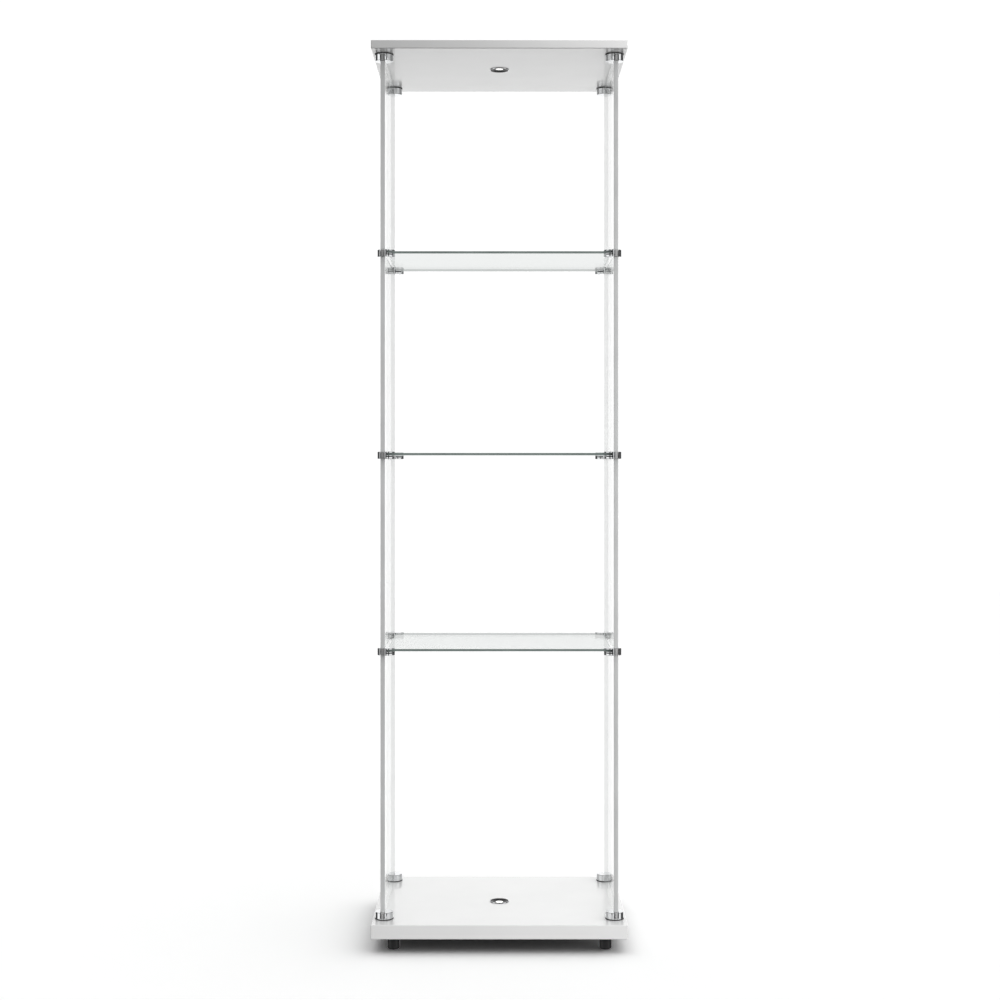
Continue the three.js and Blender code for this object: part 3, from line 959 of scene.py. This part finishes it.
def add_shelf_fittings():
    patterns = {}
    inner_gap = (CLIP_FACE + CLEAR, PANE_INNER - CLIP_X - CLEAR)
    outer_gap = (PANE_OUTER - CLIP_X + CLEAR, PANE_OUTER - CLIP_X + SLOT_GAP - CLEAR)
    for hand in (1, -1):
        patterns[hand] = {
            "shelf_clip": shelf_clip(hand),
            "shelf_cap": shelf_cap(hand),
            "shelf_liner": shelf_liner(hand),
            "shelf_gasket": shelf_gasket(hand),
            "inner_pad": pane_pad(*inner_gap, hand),
            "outer_pad": pane_pad(*outer_gap, hand),
        }
    grub = grub_screw(CLIP_GRUB, CLIP_GRUB_LENGTH)
    grip = soften(grip_ring(GRIP_DEPTH, -GRIP_SUNK), 0.15, angle=50)
    bush = stud_bush()
    for level in LEVELS:
        height = centre(f"shelf_{level}").z
        for corner in CORNERS:
            side = side_of(corner)
            hand = side * inward_of(corner)
            turn = Matrix.Identity(4) if side > 0 else Matrix.Rotation(math.pi, 4, "Z")
            y = centre(f"base_disc_{corner}").y
            at = Matrix.Translation((side * CLIP_X * MM, y, height)) @ turn
            tail = f"{level}_{corner}"
            for part in ("shelf_clip", "shelf_cap"):
                name = f"{part}_{tail}"
                copy_of(patterns[hand][part], f"{name}_chromed", at, CHROME, stands_for=[name])
            for part in ("shelf_liner", "shelf_gasket", "inner_pad", "outer_pad"):
                material = GASKET if part == "shelf_gasket" else CLEAR_LINER
                copy_of(patterns[hand][part], f"{part}_{tail}", at, material)
            grub_at = at @ Matrix.Translation((CLIP_GRUB_X * MM, 0, (CLIP_GRUB_SUNK - CLIP_BELOW) * MM))
            copy_of(grub, f"shelf_grub_{tail}", grub_at, STEEL)
            copy_of(grip, f"shelf_grip_{tail}", at, RUBBER)
            bush_at = at @ Matrix.Translation((
                (PANE_INNER - CLIP_X) * MM, hand * STUD_INSET * MM, -STUD_DROP * MM,
            ))
            copy_of(bush, f"stud_bush_{tail}", bush_at, RUBBER)
    remove([grub, grip, bush])
    for handed in patterns.values():
        remove(handed.values())


# ---------- feet

FOOT_ROUNDING = 2.4
FOOT_STUD = 4.0
FOOT_PITCH = 1.25
FOOT_GAP = 0.3             # air between a foot and the base board
RIM_WIDTH = 2.6            # ring round a foot's felt
RIM_HEIGHT = 0.5           # height of that ring over the floor
RECESS_TOP = 1.0           # height of the felt's recess over the floor
FELT_TOP = 0.95
FELT_INSET = 2.7           # from a foot's side to its felt's
INSERT_START = 0.1
INSERT_END = 19
INSERT_FIT = 0.05


def add_feet():
    low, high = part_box("foot_front_left")
    radius = (high.x - low.x) / 2 / MM
    top = (BASE_LOW.z - low.z) / MM - FOOT_GAP
    tip = (high.z - low.z) / MM
    recess = radius - RIM_WIDTH
    outline = fillet([
        (0, RECESS_TOP, 0), (recess, RECESS_TOP, 0), (recess, RIM_HEIGHT, 0),
        (radius, RIM_HEIGHT, FOOT_ROUNDING), (radius, top, 0.5), (FOOT_STUD, top, 0.2),
    ], 6)
    outline += threaded(FOOT_STUD, FOOT_PITCH, top + 0.5, tip - 1)
    outline += [(FOOT_STUD - 1, tip), (0, tip)]
    foot = mesh_object("foot", turned(outline))
    edge = radius - FELT_INSET
    felt = mesh_object("felt", turned(fillet([
        (0, 0, 0), (edge, 0, 0.3), (edge, FELT_TOP, 0), (0, FELT_TOP, 0),
    ])))
    outer = INSERT_RADIUS - INSERT_FIT
    insert = mesh_object("insert", turned(fillet([
        (INSERT_BORE, INSERT_START, 0), (outer, INSERT_START, 0.2), (outer, INSERT_END, 0.2),
        (INSERT_BORE, INSERT_END, 0),
    ])))
    for corner in CORNERS:
        name = f"foot_{corner}"
        where = centre(name)
        at = Matrix.Translation((where.x, where.y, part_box(name)[0].z))
        copy_of(foot, f"{name}_turned", at, FOOT_COAT, body=name, stands_for=[name])
        copy_of(felt, f"{name}_felt", at, FELT, body=name)
        insert_at = Matrix.Translation((where.x, where.y, BASE_LOW.z))
        copy_of(insert, f"foot_insert_{corner}", insert_at, BRASS)
    remove([foot, felt, insert])


# ---------- lamps

BEZEL_LIP = 1.4
BEZEL_THROAT = 14.0
BEZEL_LIFT = 0.12          # air between a bezel's rim and the board
BEZEL_SLOPE = 0.5          # how far the rim's side leans in
LENS_FIT = 0.3
LENS_FLAT = 0.6            # where a lens's dome turns shallow, in shares of its radius
FIN_COUNT = 3
FIN_DEPTH = 1.2
FIN_SHARE = 0.6            # a fin's part of the pitch
FIN_MARGIN = 0.5           # from a housing's ends to its fins
SOCKET_LENGTH = 16
RIB_COUNT = 4
RIB_PITCH = 2
RIB_WIDTH = 1.1
RIB_ROOT = 0.3             # over the lead's own radius
RIB_CREST = 0.9
PLUG_BORE = 2.75
PLUG_DEPTH = 9.0
PIN_RADIUS = 1.0
PIN_LENGTH = 7.8


def add_lamp(name):
    """One lamp, drawn with the board's lit face at z = 0 and its light going up."""
    over = name == "top"
    face = CEILING if over else DECK
    where = centre(f"lamp_bezel_{name}")
    turn = Matrix.Rotation(math.pi if over else 0, 4, "Y")
    at = Matrix.Translation((where.x, where.y, face)) @ turn

    def heights(part):
        low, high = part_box(f"lamp_{part}_{name}")
        ends = ((low.z - face) / MM, (high.z - face) / MM)
        return (-ends[1], -ends[0]) if over else ends

    def radius_of(part):
        return size(f"lamp_{part}_{name}").x / 2 / MM

    bezel_low, rim = heights("bezel")
    lens_low, lens_high = heights("lens")
    housing_low, housing_high = heights("housing")
    outer, lens_radius, housing_radius = radius_of("bezel"), radius_of("lens"), radius_of("housing")
    mouth = lens_radius + LENS_FIT
    bezel = turned(fillet([
        (mouth, lens_high, 0), (mouth, bezel_low, 0), (BEZEL_THROAT, bezel_low, 0.3),
        (BEZEL_THROAT, BEZEL_LIFT, 0), (outer, BEZEL_LIFT, 0.15), (outer - BEZEL_SLOPE, rim, 0.4),
        (outer - BEZEL_LIP, rim, 0.25), (mouth, lens_high + 0.15, 0),
    ]))
    lens = turned(fillet([
        (0, lens_low, 0), (lens_radius, lens_low, 0.2), (lens_radius, lens_high - 0.5, 0.3),
        (lens_radius * LENS_FLAT, lens_high - 0.05, 0), (0, lens_high, 0),
    ]))
    root = housing_radius - FIN_DEPTH
    pitch = (housing_high - housing_low - 2 * FIN_MARGIN) / FIN_COUNT
    fins = []
    for fin in range(FIN_COUNT):
        start = housing_low + FIN_MARGIN + fin * pitch
        end = start + pitch * FIN_SHARE
        fins += [(root, start, 0), (housing_radius, start, 0.15)]
        fins += [(housing_radius, end, 0.15), (root, end, 0)]
    housing = turned(fillet([
        (0, housing_low, 0), (root, housing_low, 0), *fins, (root, housing_high, 0), (0, housing_high, 0),
    ], 2))
    parts = (
        ("bezel", bezel, "chrome", CHROME), ("lens", lens, "lens", LENS),
        ("housing", housing, "housing_plastic", HOUSING),
    )
    for part, shape, slot, material in parts:
        made = mesh_object(part, shape)
        made.matrix_world = at
        set_materials(made, material)
        if part == "bezel":
            made.data.materials.append(BAFFLE)
            for polygon in made.data.polygons:
                reach = math.hypot(polygon.center.x, polygon.center.y) / MM
                dished = polygon.normal.z > 0.5 and mouth < reach < outer - BEZEL_LIP
                polygon.material_index = 1 if dished else 0
        node_name = f"lamp_{part}_{name}"
        finish_piece(made, f"{node_name}_fitted", stands_for=[node_name])
    add_lead(name)


def add_lead(name):
    """Sheathed lead from the housing to a moulded socket that opens in the board's rear edge."""
    low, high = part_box(f"lamp_lead_{name}")
    socket_radius = (high.x - low.x) / 2 / MM
    length = (high.y - low.y) / MM
    neck = length - SOCKET_LENGTH
    lead_radius = socket_radius / 2
    crest, root = lead_radius + RIB_CREST, lead_radius + RIB_ROOT
    guard = neck - RIB_COUNT * RIB_PITCH
    ribs = []
    for rib in range(RIB_COUNT):
        start = guard + rib * RIB_PITCH
        end = start + RIB_WIDTH
        ribs += [(crest, start, 0), (crest, end, 0.2), (root, end, 0), (root, start + RIB_PITCH, 0)]
    floor = length - PLUG_DEPTH
    shape = turned(fillet([
        (0, 0, 0), (lead_radius, 0, 0), (lead_radius, guard, 0), *ribs,
        (socket_radius, neck + 0.2, 0.6), (socket_radius, length, 0.4),
        (PLUG_BORE, length, 0.3), (PLUG_BORE, floor, 0), (0, floor, 0),
    ], 3), SMALL_ROUND)
    made = mesh_object("lead", along_y(shape))
    node_name = f"lamp_lead_{name}"
    where = centre(node_name)
    made.matrix_world = Matrix.Translation((where.x, low.y, where.z))
    set_materials(made, CABLE)
    finish_piece(made, f"{node_name}_sheathed", stands_for=[node_name])
    pin = mesh_object("pin", along_y(turned(fillet([
        (0, 0, 0), (PIN_RADIUS, 0, 0), (PIN_RADIUS, PIN_LENGTH, 0.5), (0, PIN_LENGTH, 0),
    ]), SMALL_ROUND)))
    pin.matrix_world = Matrix.Translation((where.x, high.y - PLUG_DEPTH * MM, where.z))
    set_materials(pin, STEEL)
    finish_piece(pin, f"lamp_socket_pin_{name}")


# ---------- stage, light and camera

CAMERA_DISTANCE = 3.1505   # from the middle of the case, m
CAMERA_HEIGHT = 0.8609
CAMERA_SENSOR = 36
CAMERA_LENS = 61.2
CAMERA_SHIFT_X = 0.0006
CAMERA_SHIFT_Y = -0.038
FLOOR_RADIUS = 9000
FLOOR_DROP = 0.0002        # keeps the floor off the undersides of the feet, m
FLOOR_SEEN = (1.4, 1.4, 1.4, 1)
FLOOR_BOUNCE = (0.22, 0.22, 0.22, 1)
BACKGROUND = 1.05
SKY_LEVEL = 0.2
SKY_SLOPES = (("Z", 0.8), ("X", 0.4), ("Y", 0.25))
SKY_LEAST = 0.05
WALL_LEVEL = 1.15
WALL_END = 0.36            # sine of the elevation at which the mirrored walls start to darken
CAP_START = 0.5            # and at which they have darkened
CAP_LEVEL = 0.06
# Walls that mirrors see: the turn round the case in degrees, and how bright the wall is there.
STRIPS = (
    (-146, 1.00), (-138, 0.06), (-96, 0.06), (-88, 1.00), (-52, 1.00), (-46, 0.30), (-30, 0.22),
    (-25, 0.80), (-10, 0.80), (-6, 0.04), (5, 0.04), (9, 0.85), (25, 0.85), (28, 0.05), (38, 0.05),
    (42, 0.90), (80, 0.90), (88, 0.08), (140, 0.06), (150, 1.00),
)


def add_floor():
    shape = bmesh.new()
    bmesh.ops.create_circle(shape, cap_ends=True, segments=128, radius=FLOOR_RADIUS)
    floor = mesh_object("floor", shape)
    floor.location.z = CAD_BOX[0][2] - FLOOR_DROP
    floor.visible_glossy = False
    material, tree, output = new_material("pale_floor")
    seen = node(tree, "ShaderNodeBsdfDiffuse", {"Color": FLOOR_SEEN})
    lit = node(tree, "ShaderNodeBsdfDiffuse", {"Color": FLOOR_BOUNCE})
    camera_ray = node(tree, "ShaderNodeLightPath").outputs["Is Camera Ray"]
    both = node(tree, "ShaderNodeMixShader", {0: camera_ray, 1: lit.outputs[0], 2: seen.outputs[0]})
    tree.links.new(both.outputs[0], output.inputs["Surface"])
    floor.data.materials.append(material)


def sky(tree, parts):
    """Strength of the soft sky, which brightens upwards, to the right and to the back."""
    soft = SKY_LEVEL
    for axis, slope in SKY_SLOPES:
        soft = maths(tree, "ADD", soft, maths(tree, "MULTIPLY", parts[axis], slope))
    return maths(tree, "MAXIMUM", soft, SKY_LEAST)


def studio(tree, parts):
    """Strength of the studio that mirrors see. Turn 0 is the front, and 180 is straight behind."""
    ahead = maths(tree, "MULTIPLY", parts["Y"], -1.0)
    azimuth = maths(tree, "ARCTAN2", parts["X"], ahead)
    share = maths(tree, "ADD", maths(tree, "DIVIDE", azimuth, 2 * math.pi), 0.5)
    ramp_node = node(tree, "ShaderNodeValToRGB", {"Fac": share})
    ramp = ramp_node.color_ramp
    for turn, level in STRIPS:
        ramp.elements.new(turn / 360 + 0.5).color = (level, level, level, 1)
    ramp.elements[0].color = (1, 1, 1, 1)
    walls = maths(tree, "MULTIPLY", ramp_node.outputs["Color"], WALL_LEVEL)
    away = node(tree, "ShaderNodeMapRange", {
        "Value": maths(tree, "ABSOLUTE", parts["Z"]),
        "From Min": WALL_END, "From Max": CAP_START, "To Min": 1.0, "To Max": CAP_LEVEL,
    }).outputs["Result"]
    return maths(tree, "MULTIPLY", walls, away)


def add_world():
    """White to the camera, softboxes and dark flags to mirrors, and a soft sky to everything else."""
    world = bpy.data.worlds.new("studio")
    world.use_nodes = True
    bpy.context.scene.world = world
    tree = world.node_tree
    tree.nodes.clear()
    direction = node(tree, "ShaderNodeTexCoord").outputs["Generated"]
    parts = node(tree, "ShaderNodeSeparateXYZ", {"Vector": direction}).outputs
    path = node(tree, "ShaderNodeLightPath").outputs

    def strength(value):
        return node(tree, "ShaderNodeBackground", {"Color": (1, 1, 1, 1), "Strength": value}).outputs[0]

    indirect = node(tree, "ShaderNodeMixShader", {
        0: path["Is Glossy Ray"], 1: strength(sky(tree, parts)), 2: strength(studio(tree, parts)),
    })
    whole = node(tree, "ShaderNodeMixShader", {
        0: path["Is Camera Ray"], 1: indirect.outputs[0], 2: strength(BACKGROUND),
    })
    output = node(tree, "ShaderNodeOutputWorld")
    tree.links.new(whole.outputs[0], output.inputs["Surface"])


def add_softbox(name, place_at, target, width, height, watts):
    light = bpy.data.lights.new(name, "AREA")
    light.shape = "RECTANGLE"
    light.size = width
    light.size_y = height
    light.energy = watts
    made = bpy.data.objects.new(name, light)
    bpy.context.scene.collection.objects.link(made)
    made.location = place_at
    made.rotation_euler = (Vector(target) - Vector(place_at)).to_track_quat("-Z", "Y").to_euler()
    made.visible_camera = False
    made.visible_glossy = False
    return made


def light_only(light, wanted):
    """Lets a softbox reach only the meshes whose names the test accepts."""
    lit = bpy.data.collections.new(f"{light.name}_lit")
    for made in bpy.data.objects:
        if made.type == "MESH" and wanted(made.name):
            lit.objects.link(made)
    light.light_linking.receiver_collection = lit


def add_camera():
    data = bpy.data.cameras.new("camera")
    camera = bpy.data.objects.new("camera", data)
    bpy.context.scene.collection.objects.link(camera)
    data.sensor_width = CAMERA_SENSOR
    data.lens = CAMERA_LENS
    data.shift_x = CAMERA_SHIFT_X
    data.shift_y = CAMERA_SHIFT_Y
    camera.location = (0, -CAMERA_DISTANCE, CAMERA_HEIGHT)
    camera.rotation_euler = (math.pi / 2, 0, 0)
    bpy.context.scene.camera = camera


# ---------- the case

board("base", BASE_LOW.z, 1)
board("top", TOP_HIGH.z, -1)
side_pane("side_glass_left", -1)
side_pane("side_glass_right", 1)
for shelf_level in LEVELS:
    shelf(f"shelf_{shelf_level}")
add_discs()
add_board_screws()
add_shelf_fittings()
add_feet()
add_lamp("base")
add_lamp("top")
add_floor()
add_world()
# The sky alone lights the floor, so that the gap under the base stays dark. The softboxes light the case.
key = add_softbox("key", (0.55, -0.55, 2.1), (0.05, -0.17, 1.5), width=0.35, height=0.35, watts=7.2)
side = add_softbox("side", (1.6, 0.0, 0.7), (0, 0, 0.1), width=1.2, height=0.5, watts=6)
backdrop = add_softbox("backdrop", (0, 1.3, 0.8), (0, 0.1, 1.58), width=1.6, height=0.8, watts=15)
front = add_softbox("front", (0.6, -2.0, 0.42), (0.05, -0.17, 0.1), width=1.0, height=0.4, watts=26)
fill = add_softbox("fill", (1.2, -2.2, 0.9), (0.0, -0.15, 0.7), width=1.2, height=1.2, watts=22)
for softbox in (side, backdrop):
    light_only(softbox, lambda name: name != "floor")
light_only(key, lambda name: name.startswith("top_board"))
light_only(front, lambda name: name.startswith("base_board"))
light_only(fill, lambda name: name != "floor" and not name.startswith(("base_board", "top_board")))
add_camera()
bpy.context.scene.view_settings.view_transform = "Standard"
